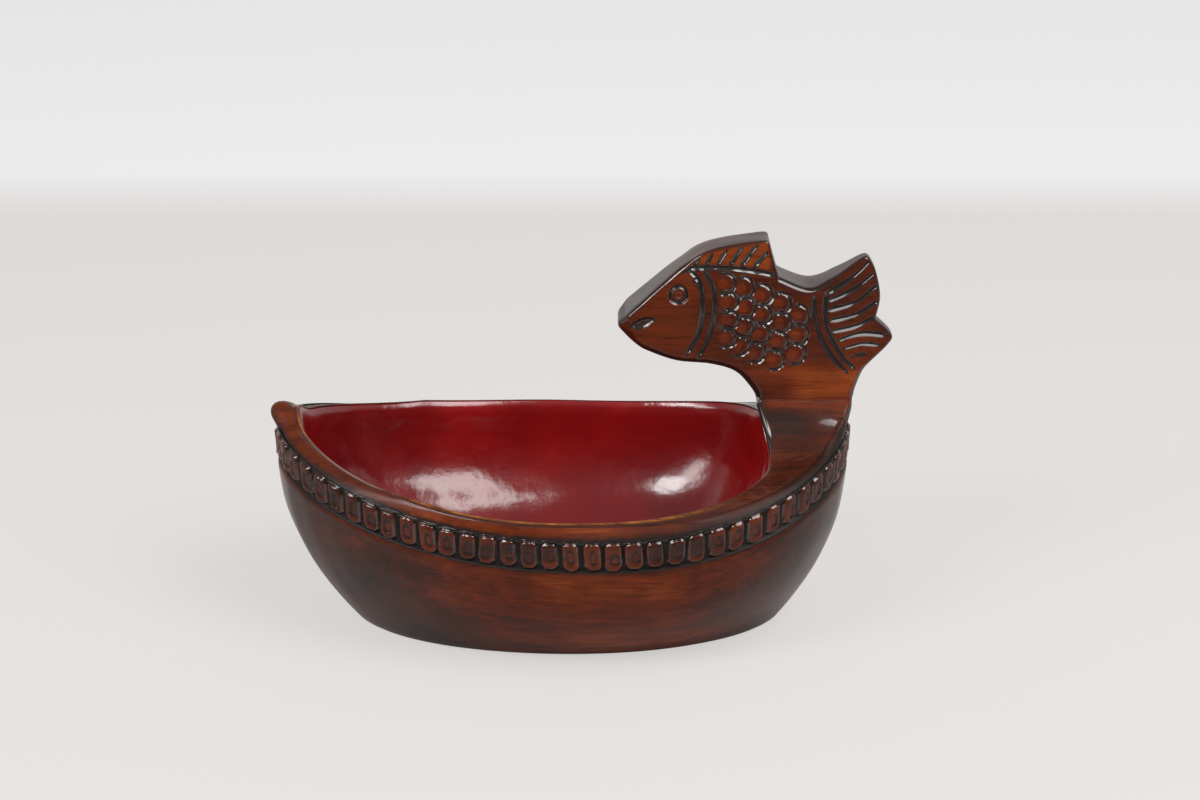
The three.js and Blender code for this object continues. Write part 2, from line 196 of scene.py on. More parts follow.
def ripple(points, size, seed, waves=7):
    """Smooth pseudo-random values, mostly between -1 and 1, over points in millimetres."""
    draw = np.random.default_rng(seed)
    total = np.zeros(len(points))
    for _ in range(waves):
        wave = draw.normal(size=points.shape[1]) * 2 * math.pi / size / points.shape[1] ** 0.5
        total += np.sin(points @ wave + draw.uniform(0, 2 * math.pi))
    return total / waves ** 0.5


def place(name, data):
    item = bpy.data.objects.new(name, data)
    bpy.context.scene.collection.objects.link(item)
    return item


def new_piece(name, vertices, faces, replaced):
    mesh = bpy.data.meshes.new(name)
    mesh.from_pydata((vertices * MM).tolist(), [], faces)
    mesh.validate()
    mesh.polygons.foreach_set("use_smooth", [True] * len(mesh.polygons))
    piece = place(name, mesh)
    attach(piece, "root")
    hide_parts(replaced)
    return piece


def paint(piece, name, values):
    """Stores one number a vertex, for a material to read."""
    layer = piece.data.attributes.new(name, "FLOAT", "POINT")
    layer.data.foreach_set("value", np.asarray(values, dtype=np.float32))


def ring_faces(rings, columns):
    """Quads between rings of columns points, with a fan to a first and to a last single point."""
    steps = [(i, (i + 1) % columns) for i in range(columns)]
    starts = range(1, rings * columns, columns)
    faces = [(a + i, a + j, b + j, b + i) for a, b in zip(starts, starts[1:]) for i, j in steps]
    top, last = starts[-1], starts[-1] + columns
    for i, j in steps:
        faces += [(0, 1 + j, 1 + i), (top + i, top + j, last)]
    return faces


def bead_columns():
    """Directions of the columns, each one's bead and place across it, and the beads' pitch."""
    dense = np.linspace(0, 2 * math.pi, 7201)
    curve = OUTER.points(dense)
    run = np.concatenate([[0], np.cumsum(np.linalg.norm(np.diff(curve, axis=0), axis=1))])
    share = np.arange(BEAD_COLUMNS) / BEAD_COLUMNS
    phase = share - BEAD_CROWDING * np.sin(4 * math.pi * share)
    beads = np.repeat(np.arange(BEADS), BEAD_COLUMNS)
    phases = np.tile(phase, BEADS)
    angles = np.interp((beads + phases) / BEADS * run[-1], run, dense)
    return angles, beads, phases, run[-1] / BEADS


def outward(loop):
    """Directions out of a closed flat loop, at right angles to it."""
    along = np.roll(loop, -1, 0) - np.roll(loop, 1, 0)
    normals = np.zeros_like(loop)
    normals[:, 0], normals[:, 1] = along[:, 1], -along[:, 0]
    return normals / np.linalg.norm(normals, axis=1)[:, None]


def sheer(points):
    """How far the rim has risen above its lowest place, less at the far side towards the neck."""
    rise = SHEER_RISE * (np.abs(points[:, 0] - SHEER_LOW_X) / SHEER_SPAN) ** SHEER_POWER
    along = smooth(points[:, 0], FAR_FALL_X, FAR_FALL_X + FAR_FALL_LENGTH)
    return rise - FAR_FALL * along * smooth(points[:, 1], 0, FAR_FALL_WIDTH)


def saddle_share(points):
    """From 0 on the plain rim to 1 on the seat of the neck."""
    run = (np.abs(points[:, 1]) - SEAT_HALF) / COVE_WIDTH
    share = (1 - np.clip(run, 0, 1)) ** COVE_POWER
    return np.where(points[:, 0] < HOLLOW_X, 0, share)


def nose_share(points):
    """From 0 on the plain rim to 1 at the nose of the pointed end."""
    share = np.clip(1 - (points[:, 1] / NOSE_SPAN) ** 2, 0, 1) ** 3
    return np.where(points[:, 0] > HOLLOW_X, 0, share)


def end_shares(points):
    """How far along the bowl's right-hand and left-hand end each point lies."""
    return smooth(points[:, 0], 35, 65), smooth(-points[:, 0], 20, 95)


def rim_top(points):
    return RIM_Z + sheer(points) + NOSE_RISE * nose_share(points)


def dip_at(points):
    """How far the hollow's edge lies below the rim between the tip and the middle."""
    return EDGE_DIP * np.clip(1 - ((points[:, 0] - EDGE_DIP_X) / EDGE_DIP_SPAN) ** 2, 0, 1)


def bead_sheer(points):
    return sheer(points) - NOSE_BEAD_DROP * nose_share(points)


def outer_points(angles, insets):
    """Points of the bead band's plan, set in by a different distance in each direction."""
    low, high = OUTER.grown(-RIDGE_SET - 1).points(angles), OUTER.grown(1.5).points(angles)
    return lerp(high, low, ((insets + 1.5) / (RIDGE_SET + 2.5))[:, None])


def far_drop(points):
    """How much lower the ridge lies on the far side."""
    return smooth(points[:, 1], 4, 14) * (0.8 + 0.9 * dip_at(points))


def ridge_fall(angles, ridge):
    edge = HOLLOW.grown(LACQUER).points(angles)
    width = np.hypot(ridge[:, 0] - edge[:, 0], ridge[:, 1] - edge[:, 1])
    return np.minimum(RIDGE_DROP + LAND_FALL * np.maximum(width - LAND_WIDTH, 0), RIDGE_DROP_MOST)


def ridge_points(angles):
    """The ridge between the land and the bevel: near the hollow at the tip, near the beads at the neck."""
    share = saddle_share(OUTER.grown(-RIDGE_SET).points(angles))
    by_hollow = HOLLOW.grown(LACQUER + LAND_WIDTH).points(angles)
    by_beads = outer_points(angles, RIDGE_SET * (1 - share))
    points = lerp(by_hollow, by_beads, smooth(np.cos(angles), -1 / 3, 0.1)[:, None])
    fall = ridge_fall(angles, points)
    points[:, 2] = lerp(rim_top(points) - fall - far_drop(points), SEAT_Z, share)
    return points


def land_points(angles, share):
    """The land round the hollow, from its edge, at share 0, to the ridge, at share 1."""
    ridge = ridge_points(angles)
    points = HOLLOW.grown(LACQUER).points(angles)
    points[:, :2] = lerp(points[:, :2], ridge[:, :2], share)
    rise = saddle_share(points)
    fall = lerp(dip_at(points), ridge_fall(angles, ridge), share)
    points[:, 2] = lerp(rim_top(points) - fall, SEAT_Z, rise)
    points[:, 0] -= SEAT_LEAN * rise * (1 - share)
    return points


def bevel_foot(angles):
    plain = OUTER.grown(-BEVEL_SET).points(angles)
    share = saddle_share(plain)
    points = outer_points(angles, BEVEL_SET * (1 - share) - NOSE_REACH * nose_share(plain))
    points[:, 2] = lerp(RIM_Z - RIDGE_DROP + sheer(points), SEAT_Z, share) - BEVEL_DROP
    return points


def bevel_points(angles, share):
    """The bevel, from its foot above the beads, at share 0, to the ridge, at share 1."""
    points = lerp(bevel_foot(angles), ridge_points(angles), share)
    arch = 4 * share * (1 - share)
    bulge = NOSE_BULGE * nose_share(points) * arch ** 0.6
    points[:, 0] -= bulge
    points[:, 2] += bulge + BEVEL_CROWN * arch * (1 - saddle_share(points))
    return points


def hull_points(angles, height, inset=0.0):
    """The hull at a share of its height, from the underside to the beads."""
    foot = BASE.points(angles)
    top = OUTER.grown(-1.0 - inset).points(angles)
    points = lerp(foot, top, 1 - (1 - height) ** HULL_FULLNESS)
    points[:, 2] = height * (BEAD_BOTTOM_Z + bead_sheer(top))
    return points


def edge_rounds(angles):
    """Radius of the wooden edge round the hollow: wide where the saddle stands over it, small elsewhere."""
    share = saddle_share(HOLLOW.grown(LACQUER).points(angles))
    return EDGE_ROUND + SADDLE_ROUND * smooth(share, 0, 0.45)


def edge_points(angles, turn):
    """The rounded wooden edge between the land, at turn 0, and the hollow's wall, at turn 1."""
    radius = edge_rounds(angles)[:, None]
    edge = land_points(angles, 0.0)
    inward = edge - land_points(angles, LAND_RINGS[-1])
    inward /= np.linalg.norm(inward, axis=1)[:, None]
    down = np.array([0, 0, -1.0])
    arc = turn * math.pi / 2
    return edge + radius * (inward * (math.sin(arc) - 1) + down * (1 - math.cos(arc)))


def hollow_points(angles, turn, offset):
    """The hollow's wall, offset into the wood: turn 0 is its floor, turn 1 lies just under the edge."""
    edge = HOLLOW.grown(offset).points(angles)
    share = saddle_share(edge)
    top = lerp(rim_top(edge) - dip_at(edge), SEAT_Z, share)
    drop = edge_rounds(angles)
    highest = 1 - (drop + 0.05) / (top - HOLLOW_FLOOR)
    full = np.arccos(np.clip(1 - highest, 0, 1) ** (HOLLOW_POWER / 2)) * turn
    reach = np.sin(full) ** (2 / HOLLOW_POWER)
    rise = 1 - np.cos(full) ** (2 / HOLLOW_POWER)
    x = lerp(HOLLOW_X, edge[:, 0], reach) - SEAT_LEAN * share * rise ** LEAN_POWER
    return np.stack([x, edge[:, 1] * reach, lerp(HOLLOW_FLOOR - offset, top, rise)], 1)


def flared(angles, turn):
    """The lacquer's face, which flares out over its last few millimetres to the wooden edge."""
    near_top = np.clip((turn - FLARE_FROM) / (1 - FLARE_FROM), 0, 1)
    lip = np.clip((turn - LIP_FROM) / (1 - LIP_FROM), 0, 1)
    points = hollow_points(angles, turn, 0.0)
    away = HOLLOW.grown(1.0).points(angles) - HOLLOW.points(angles)
    flare = FLARE * near_top ** 2 + LIP * lip ** 2 - FLARE
    flare = flare * (1 - smooth(saddle_share(points), 0.0, 0.4)) * smooth(turn, 0.5, FLARE_FROM)
    points[:, :2] += away[:, :2] * flare[:, None]
    return points


def bead_relief(beads, phases, pitch, height):
    """Height of the carved beads above the floor of the band, how black each point is, and how glossy."""
    draw = np.random.default_rng(7)
    bead = {name: draw.uniform(least, most, BEADS)[beads] for name, (least, most) in BEAD_VARIETY.items()}
    across = (phases - 0.5) * pitch - bead["shift"] - bead["tilt"] * (height - 6)
    middle, tall = (bead["low"] + bead["high"]) / 2, (bead["high"] - bead["low"]) / 2
    radius = np.where(height < middle, BEAD_FOOT_RADIUS, BEAD_TOP_RADIUS)
    qx, qz = np.abs(across) - bead["half"] + radius, np.abs(height - middle) - tall + radius
    outside = np.hypot(np.maximum(qx, 0), np.maximum(qz, 0)) + np.minimum(np.maximum(qx, qz), 0) - radius
    depth = np.clip(-outside / BEAD_SHOULDER, 0, 1)
    dome = np.clip(1 - (across / bead["half"]) ** 2, 0, 1) ** 0.5
    flank = np.sqrt(1 - (1 - depth) ** 2)
    relief = BEAD_RELIEF * bead["proud"] * (BEAD_FLANK * flank + BEAD_DOME * depth * dome)
    nick = np.exp(-((across - bead["nick"]) / 0.5) ** 2 - ((height - bead["high"] + 0.6) / 1.2) ** 2)
    relief -= 0.3 * depth * nick
    gz = (height - bead["ring_z"]) / bead["ring_tall"]
    gx = (across - bead["ring_x"]) / (bead["ring_half"] * (1 - 0.3 * gz))
    from_ring = np.hypot(gx, gz)
    relief -= 0.7 * bead["ring_deep"] * np.clip(1 - from_ring ** 2, 0, 1) * depth
    ring = np.exp(-((from_ring - 0.85) / 0.24) ** 2) * depth
    relief -= 0.45 * ring
    # The gaps between beads are black stain; the gouge's ring is black stain in the cut, painted darker on its
    # upper half as painted shade under the gouge's upper edge
    black = 0.95 * np.clip(1 - depth * 1.7, 0, 1) + ring * (0.85 + 0.2 * np.clip(gz, -1, 1))
    gloss = smooth(depth, 0, 0.2) * (1 - 0.85 * smooth(depth, 0.5, 0.95)) + 0.05 * ring
    return relief, np.clip(black, 0, 1), np.clip(gloss, 0, 1)


def rubbed_spot(points):
    """Where the saddle's right-hand shoulder is rubbed shiny, on both sides of the neck."""
    x, y, z = points.T
    away = (np.stack([x, np.abs(y), z], 1) - SHOULDER) / SHOULDER_REACH
    return SHOULDER_GLOSS * np.exp(-(away ** 2).sum(1))


def shoulder_fall(points):
    """How far the saddle's right-hand shoulder is rounded down beside the neck."""
    beside = smooth(np.abs(points[:, 1]), 10.8, 17) * smooth(points[:, 2], 80, 88)
    return SHOULDER_FALL * smooth(points[:, 0], 94, 106) * beside


def hull_rings(angles):
    """The underside and the hull up to the beads, warmest in the middle, with painted shade darkening its
    right-hand end, and glossier at both ends.
    """
    normals = outward(OUTER.points(angles))
    for inset, z in ((30.0, 0.0), (1.6, 0.0), (0.8, 0.25), (0.25, 0.8)):
        points = BASE.grown(-inset).points(angles)
        points[:, 2] = z
        yield points, {"groove": 0.5 if z else 1.0}
    for height in np.linspace(0.028, 0.93, 22):
        points = hull_points(angles, height)
        middle = 1 - smooth(np.abs(points[:, 0] - 12), 12, 88)
        # Painted shade: the hull is painted darker towards its right-hand end
        tint = 0.18 + 0.3 * middle + 0.02 * height - 0.07 * smooth(points[:, 0], 25, 70)
        points += normals * (HULL_RIPPLE * height * ripple(points, 26, 3))[:, None]
        yield points, {"tint": tint, "gloss": 0.24 * (1 - middle) ** 2}
    for height, inset, black in ((0.955, 0.0, 0.1), (0.975, 0.1, 0.35), (0.99, 0.4, 0.8), (0.997, 1.0, 1.0)):
        yield hull_points(angles, height, inset), {"groove": black}


def band_rings(angles, beads, phases, pitch):
    """The carved beads, and the notched shelf over them."""
    outer = OUTER.points(angles)
    normals = outward(outer)
    for height in np.linspace(-0.25, BEAD_TALL, 22):
        relief, black, gloss = bead_relief(beads, phases, pitch, height)
        set_in = relief - BEAD_RELIEF - BEAD_UNDERCUT * (1 - height / BEAD_TALL)
        points = outer + normals * set_in[:, None]
        points[:, 2] = BEAD_BOTTOM_Z + height + bead_sheer(outer)
        yield points, {"groove": black, "tint": BEAD_TINT, "gloss": gloss}
    notch = smooth(np.abs(phases - 0.5) * 2, 0.62, 0.9)
    for inset, drop in ((1.0, 0.1), (1.7, 0.5), (2.3, 1.0)):
        points = OUTER.grown(-inset).points(angles)
        points[:, 2] = BEAD_TOP_Z - drop - BEAD_NOTCH * notch * (1 - inset / 2.6) + bead_sheer(points)
        right, left = end_shares(points)
        black = 0.15 + 0.6 * smooth(inset, 0.8, 2.0) + 0.4 * notch
        gloss = (1 - 0.7 * notch) * (1 - np.maximum(0.85 * right, 0.5 * left))
        yield points, {"groove": black, "tint": BEAD_TINT, "gloss": gloss}


def rim_rings(angles):
    """The bevel, and the land from the ridge to the hollow's edge, with painted shade under the neck."""
    for share in (0.0, 0.05, 0.14, 0.28, 0.45, 0.62, 0.78, 0.9, 0.97):
        points = bevel_points(angles, share)
        points[:, 2] -= shoulder_fall(points)
        right, left = end_shares(points)
        gloss = (0.1 + 0.6 * smooth(share, 0.75, 1.0)) * (1 - 0.95 * right - 0.75 * left) + rubbed_spot(points)
        # Painted shade: the bevel is painted darker towards its right-hand end, and less so towards its left-hand
        # end
        tint = 0.56 - 0.4 * right - 0.16 * left + 0.1 * saddle_share(points)
        yield points, {"groove": 0.6 * (1 - share) ** 3, "tint": tint, "gloss": gloss}
    for share in LAND_RINGS:
        points = land_points(angles, share)
        off_saddle = 1 - saddle_share(points)
        points[:, 2] -= LAND_ROUND * smooth(share, 0.9, 1.0) * off_saddle
        points[:, 2] -= far_drop(points) * share * off_saddle + shoulder_fall(points)
        saddle = smooth(saddle_share(points), 0, 0.3)
        x, z = points[:, 0], points[:, 2]
        # Painted shade: a band of the land just under the neck is painted darker and black, and made less glossy
        shadow = smooth(z, 78, 85) * (1 - smooth(z, 88, 93)) * (x > 0) * (1 - smooth(x, 84, 99))
        worn = (1 - smooth(share, 0.25, 0.6)) * (1 - saddle) * (1 - smooth(x, 35, 70))
        gloss = (0.3 + 0.3 * share) * (1 - 0.5 * saddle) * (1 - 0.8 * shadow)
        gloss = np.maximum(gloss, rubbed_spot(points))
        tint = 0.32 + 0.1 * saddle - 0.22 * shadow
        yield points, {"groove": 0.4 * shadow, "wear": worn, "tint": tint, "gloss": gloss}


def wall_rings(angles):
    """The rounded wooden edge, painted dark under the saddle as painted shade, and the hollow's wall behind the
    lacquer.
    """
    saddle = smooth(saddle_share(HOLLOW.grown(LACQUER).points(angles)), 0, 0.3)
    for turn in (0.12, 0.3, 0.5, 0.7, 0.88, 1.0):
        # Painted shade: the edge under the saddle is painted darker as it turns down to face the hollow
        yield edge_points(angles, turn), {"groove": (0.3 + 0.5 * turn) * saddle, "gloss": 0.5}
    for turn, behind in WALL_RINGS:
        yield hollow_points(angles, turn, LACQUER + behind), {"groove": 0.5}


def make_bowl():
    angles, *across = bead_columns()
    rings = [*hull_rings(angles), *band_rings(angles, *across), *rim_rings(angles), *wall_rings(angles)]
    faces = ring_faces(len(rings), len(angles))
    under, floor = [[HOLLOW_X, 0, 0]], [[HOLLOW_X, 0, HOLLOW_FLOOR - LACQUER - 1.0]]
    rings = [(under, HIDDEN), *rings, (floor, HIDDEN)]
    vertices = np.concatenate([points for points, _ in rings])
    piece = new_piece("carved_bowl", vertices, faces, "bowl")
    for name, plain in PLAIN.items():
        values = [np.broadcast_to(finish.get(name, plain), len(points)) for points, finish in rings]
        paint(piece, name, np.concatenate(values))
    return piece


def make_lining():
    """The lacquer as a thin shell: its back against the wood, its lip, then its face down to the floor."""
    turn = np.linspace(0, 2 * math.pi, 400, endpoint=False)
    angles = np.arctan2(0.62 * np.sin(turn), np.cos(turn))
    lip, flare = np.linspace(1, LIP_FROM, 9), np.linspace(0.982, FLARE_FROM, 8)
    face = np.linspace(0.945, 0.012, 80)
    rings = [hollow_points(angles, share, LACQUER) for share in np.linspace(0.05, 0.995, 12)]
    rings += [flared(angles, share) for share in (*lip, *flare, *face)]
    back, floor = [HOLLOW_X, 0, HOLLOW_FLOOR - LACQUER], [HOLLOW_X, 0, HOLLOW_FLOOR]
    vertices = np.concatenate([[back], *rings, [floor]])
    faces = ring_faces(len(rings), len(angles))
    piece = new_piece("red_lacquer_lining", vertices, faces, "lacquer_lining")
    # Painted shade: the lacquer is painted darker low in the hollow and towards the tip
    low = 1 - smooth(vertices[:, 2], 18, 50)
    left = smooth(-vertices[:, 0], 30, 85)
    paint(piece, "tint", 1 - 0.36 * low - 0.46 * left * (1 - low))
    return piece


# Fish outline in millimetres from the foot of the neck's right-hand side; each run is a smooth curve
FISH_RUNS = (
    ((-0.8, 0), (0.3, 4), (4.0, 11.2), (11.6, 18.2), (13.7, 22.6), (7, 29.4)),
    ((7, 29.4), (8.6, 38), (6.6, 48), (3.9, 53.6)),
    ((3.9, 53.6), (2.4, 54.1), (-0.6, 52.6), (-10.1, 46.6), (-19, 43.2), (-30.6, 47.6)),
    ((-30.6, 47.6), (-33.4, 57.5), (-34.2, 61.0)),
    ((-34.2, 61.0), (-38, 61.3), (-56.6, 57.8), (-68.1, 50.6), (-84.4, 36.1), (-89, 31.6), (-91, 28.4),
     (-89.2, 25), (-82, 19.4), (-69, 14.4), (-55.7, 12.9), (-46.5, 10), (-41, 4.4), (-38.2, 0), (-37.4, -4)),
    ((-37.4, -4), (-1.2, -4)),
    ((-1.2, -4), (-0.8, 0)),
)
FISH_X = STERN_X + 0.7
FISH_Z = fish_low.z / MM
FISH_THICK = fish_high.y / MM * 2
FISH_SUNK = 0.25
SLAB_RIPPLE = 0.10

# The slab's thickness by place along it, on a line that leans, and by height
THICK_BY_LENGTH = ((-92, -84, -15, 6, 15), (12, FISH_THICK, FISH_THICK, 9, 5.5))
THICK_BY_HEIGHT = ((34, 62.3), (FISH_THICK, 12.6))
THICK_LEAN = 0.4
THICK_LEAN_Z = 25.7
THICK_BLEND = 3
FOOT_FLARE = 0.4
LEAST_ROUND = 1.1

# Long carved lines: two gill covers, the foot of the dorsal fin and two bands at the root of the tail,
# each with its half width and depth
LINES = (
    (((-64.2, 50.4), (-60.2, 45.5), (-59, 36), (-60.5, 26), (-64.8, 17.4)), 1.0, 0.95),
    (((-58.6, 50.4), (-55, 43), (-54.7, 34), (-56.4, 25), (-60.4, 16.2)), 1.0, 0.95),
    (((-68.6, 49.6), (-62, 51.2), (-52, 51.2), (-43, 50.4), (-32, 48.6)), 1.05, 1.0),
    (((-17.1, 41), (-16.9, 34.4), (-14.8, 25.7), (-10.7, 17.7), (-3.6, 9.6)), 1.0, 1.0),
    (((-12.4, 41.6), (-12.7, 32.1), (-10.2, 24.1), (-5.3, 15.5), (-0.6, 10.8)), 1.0, 1.0),
)
FIN_FOOT = ((-68.6, -62, -43, -32), (49.6, 51.2, 50.4, 48.6))

# Rays of the dorsal fin, rays of the tail, and three ticks behind the gill cover's top
RAYS = (
    (((-60.2, 55.2), (-62.8, 51.6)), 0.85, 0.62),
    (((-55.6, 56.7), (-58, 52.2)), 0.9, 0.66),
    (((-50, 58.3), (-53.6, 52.2)), 0.95, 0.7),
    (((-44.1, 59.9), (-49, 52)), 0.95, 0.7),
    (((-38.6, 60.3), (-44.9, 51.8)), 0.95, 0.7),
    (((-34.9, 57.4), (-40, 51.4)), 0.95, 0.7),
    (((-11.6, 41.2), (-2, 46.6), (4.6, 53)), 1.0, 1.0),
    (((-11.8, 38.1), (-1.7, 41.7), (6.6, 48)), 1.0, 1.0),
    (((-11.6, 34.5), (-0.7, 36.8), (7.9, 43)), 1.0, 1.0),
    (((-11.2, 30.4), (-0.5, 31.9), (8.2, 36.8)), 1.0, 1.0),
    (((-10.2, 26.2), (-0.4, 27.4), (7.4, 30.6)), 1.0, 1.0),
    (((-7.4, 22.4), (1.3, 24.2), (11.6, 22.6)), 0.95, 0.9),
    (((-5.4, 19), (2.2, 20.2), (8.8, 19.0)), 0.85, 0.8),
    (((-2.6, 15.2), (0.8, 16.2), (4.2, 15.8)), 0.7, 0.6),
    (((-63.6, 48.6), (-61.9, 47.4)), 0.5, 0.6),
    (((-63.3, 46.7), (-61.3, 45.6)), 0.5, 0.6),
    (((-62.6, 44.8), (-60.8, 43.9)), 0.5, 0.6),
)
SCALES = (
    (-50.9, 45.2), (-50.1, 38.2), (-49.6, 31.2), (-50.2, 24.2),
    (-44.0, 43.6), (-43.3, 36.2), (-43.9, 28.4), (-45.2, 20.9),
    (-37.0, 40.9), (-37.1, 33.3), (-37.7, 25.6), (-39.4, 18.1),
    (-29.9, 37.8), (-29.5, 30.1), (-30.9, 22.6), (-32.0, 15.1),
    (-22.9, 33.0), (-23.2, 25.3), (-24.0, 17.6),
)
SCALE_RADIUS = 3.9
SCALE_DEPTH = 1.02
SCALE_NOTCH = (0.62, 0.75)
EYE = (-68.2, 41.1)
EYE_RING = 3.2
PUPIL_RING = 1.95
PUPIL = 1.75
MOUTH = (-81.6, 30.1)
MOUTH_TILT = 0.33
MOUTH_HALF_LENGTH = 4.9
MOUTH_HALF_HEIGHT = 1.85
MOUTH_DEPTH = 1.1


def curve_through(points, spacing):
    """A smooth curve through the points, at even steps."""
    knots = np.array([points[0], *points, points[-1]], float)
    dense = [knots[1]]
    for i in range(1, len(knots) - 2):
        a, b, c, d = knots[i - 1:i + 3]
        for t in np.linspace(0, 1, 25)[1:]:
            dense.append(0.5 * (2 * b + (c - a) * t + (2 * a - 5 * b + 4 * c - d) * t ** 2
                                + (3 * b - a - 3 * c + d) * t ** 3))
    dense = np.array(dense)
    run = np.concatenate([[0], np.cumsum(np.linalg.norm(np.diff(dense, axis=0), axis=1))])
    steps = np.linspace(0, run[-1], max(int(round(run[-1] / spacing)), 1) + 1)
    return np.stack([np.interp(steps, run, dense[:, i]) for i in (0, 1)], 1)


def carved_lines():
    """Every long line, ray and notch between neighbouring scales, with its half width and depth."""
    notches = []
    for x, z in SCALES:
        for side in (-1, 1):
            foot = z + side * SCALE_RADIUS
            notches.append((((x - 2.3, foot + 0.15 * side), (x + 0.5, foot - 0.25 * side)), *SCALE_NOTCH))
    return (*LINES, *RAYS, *notches)


def closed_blur(values, width):
    """A round-the-loop average with a bell of the given width in samples."""
    reach = int(width * 3) + 1
    bell = np.exp(-0.5 * (np.arange(-reach, reach + 1) / width) ** 2)
    return sum(weight * np.roll(values, shift, 0) for shift, weight in
               zip(range(-reach, reach + 1), bell / bell.sum()))


def half_thickness(points):
    """Half the slab's thickness: thinner towards the fin, the nose and the tail, wider at the foot."""
    x, z = points.T
    by_length = np.interp(x + THICK_LEAN * (z - THICK_LEAN_Z), *THICK_BY_LENGTH)
    by_height = np.interp(z, *THICK_BY_HEIGHT)
    mix = np.clip(0.5 + (by_height - by_length) / THICK_BLEND, 0, 1)
    foot = FOOT_FLARE * (1 - smooth(z, 0, 8))
    return (lerp(by_height, by_length, mix) - THICK_BLEND / 2 * mix * (1 - mix)) / 2 + foot


def uneven_half(points, carved=0.0):
    return half_thickness(points) - carved - SLAB_RIPPLE + SLAB_RIPPLE * ripple(points, 15, 5)


def edge_rounding(outline, normals):
    """How wide the edge between the slab's side and face is rounded, limited where the outline is tight."""
    x, z = outline.T
    rightward, upward = normals.T
    belly = 2.9 * smooth(-upward, -0.1, 0.6) * smooth(-x, -2, 8)
    neck_left = 3.2 * (smooth(-rightward, 0.2, 0.8) * smooth(-z, -13, -8))
    neck_right = 2.4 * (smooth(rightward, 0.2, 0.8) * smooth(-z, -15, -9))
    back = 2.4 * smooth(upward, 0.3, 0.8) * smooth(x, -35, -30) * (1 - smooth(x, -12, -7))
    snout = 1.6 * smooth(-x, 83, 88)
    brow = 1.9 * smooth(-x, 60, 66) * smooth(upward, 0.2, 0.6)
    widest = np.maximum.reduce([belly, neck_left, neck_right, back, snout, brow])
    target = np.maximum(LEAST_ROUND, widest)
    across = outline[None] - outline[:, None]
    ahead = -(across * normals[:, None]).sum(2)
    fit = np.where(ahead > 1e-6, (across ** 2).sum(2) / np.maximum(2 * ahead, 1e-6), 1e3)
    limit = 0.75 * fit.min(1)
    return np.minimum(closed_blur(np.minimum(target, limit), 2.0), limit)


def distance_to(points, line):
    return np.min(np.linalg.norm(points[:, None] - line[None], axis=2), axis=1)


def carve_lines(points, wobble):
    """Grooves that fade at their ends, and the soft raised bands between pairs of them."""
    depths, stain = np.zeros(len(points)), np.zeros(len(points))
    for knots, half_width, depth in carved_lines():
        line = curve_through(knots, 0.2)
        away = distance_to(points, line)
        fade = 0.55 + 0.45 * smooth(distance_to(points, line[[0, -1]]), 0, 2.0)
        width = half_width * (1 + 0.14 * wobble) * fade
        cut = np.clip(1 - np.hypot(away, 0.16) / width, 0, 1) * depth * 1.1 * fade
        soft = 0.14 * np.exp(-(away / 2.0) ** 2)
        depths = np.maximum(depths, cut) + soft * (cut < 1e-9)
        stain = np.maximum(stain, smooth(1 - away / (width * 1.12), 0, 0.45) * fade)
    for first, second in ((0, 1), (3, 4)):
        band = (np.array(LINES[first][0]) + np.array(LINES[second][0])) / 2
        depths = depths - 0.38 * np.exp(-(distance_to(points, curve_through(band, 0.4)) / 1.3) ** 2)
    return depths, stain


def carve_scale(points, number, wobble):
    """One scale: an arc that is steep inside and slopes away outside, round a slightly dished face."""
    offset = points - SCALES[number]
    reach = np.hypot(offset[:, 0], offset[:, 1])
    turn = np.arctan2(offset[:, 1], offset[:, 0])
    open_side = 1 - smooth(np.abs(turn + 0.04), 1.6, 2.05)
    past = reach - SCALE_RADIUS * (1 + 0.03 * np.sin(3 * turn + number))
    cut = np.clip(np.where(past < 0, 1 + past / 0.45, 1 - past / 1.35), 0, 1) * open_side
    dish = 0.3 * np.clip(reach / SCALE_RADIUS, 0, 1) ** 3 * (past < 0) * open_side
    return np.maximum(SCALE_DEPTH * cut * (1 + 0.15 * wobble), dish), smooth(cut, 0.25, 0.7)


def carve_eye(points, depths):
    """Two rings cut round a low domed pupil."""
    reach = np.linalg.norm(points - EYE, axis=1)
    ring = np.clip(1 - np.abs(reach - EYE_RING) / 0.75, 0, 1)
    inner = np.clip(1 - np.abs(reach - PUPIL_RING) / 0.4, 0, 1)
    depths = np.maximum(depths, np.maximum(0.95 * ring ** 0.7, 0.45 * inner ** 0.7))
    depths = np.where(reach < PUPIL, 0.1 + 0.35 * (reach / PUPIL) ** 2, depths)
    return depths, np.maximum(smooth(ring, 0, 0.5), smooth(inner, 0, 0.6))


def carve_mouth(points):
    """An almond-shaped hollow with a black rim."""
    x, z = (points - MOUTH).T
    along = np.abs(x * math.cos(MOUTH_TILT) + z * math.sin(MOUTH_TILT))
    cross = np.abs(z * math.cos(MOUTH_TILT) - x * math.sin(MOUTH_TILT))
    inside = np.clip(1 - (along / MOUTH_HALF_LENGTH) ** 2, 0, 1) * MOUTH_HALF_HEIGHT - cross
    depth = np.where(inside > 0, MOUTH_DEPTH * np.clip(inside / 0.55, 0, 1) ** 0.8, 0)
    rim = np.clip(1 - np.abs(inside - 0.3) / 0.6, 0, 1) * (inside > -0.3) * (along < MOUTH_HALF_LENGTH)
    return depth, np.maximum(smooth(rim, 0, 0.5), 0.45 * smooth(inside, 0, 0.5))


def carve_depth(points):
    """How deep the carving goes into the fish's face, and how dark each point is stained by it."""
    wobble = ripple(points, 9, 11)
    depths, stain = carve_lines(points, wobble)
    for number in range(len(SCALES)):
        cut, black = carve_scale(points, number, wobble)
        depths, stain = np.maximum(depths, cut), np.maximum(stain, black)
    depths, black = carve_eye(points, depths)
    stain = np.maximum(stain, black)
    cut, black = carve_mouth(points)
    return np.maximum(depths, cut), np.maximum(stain, black)


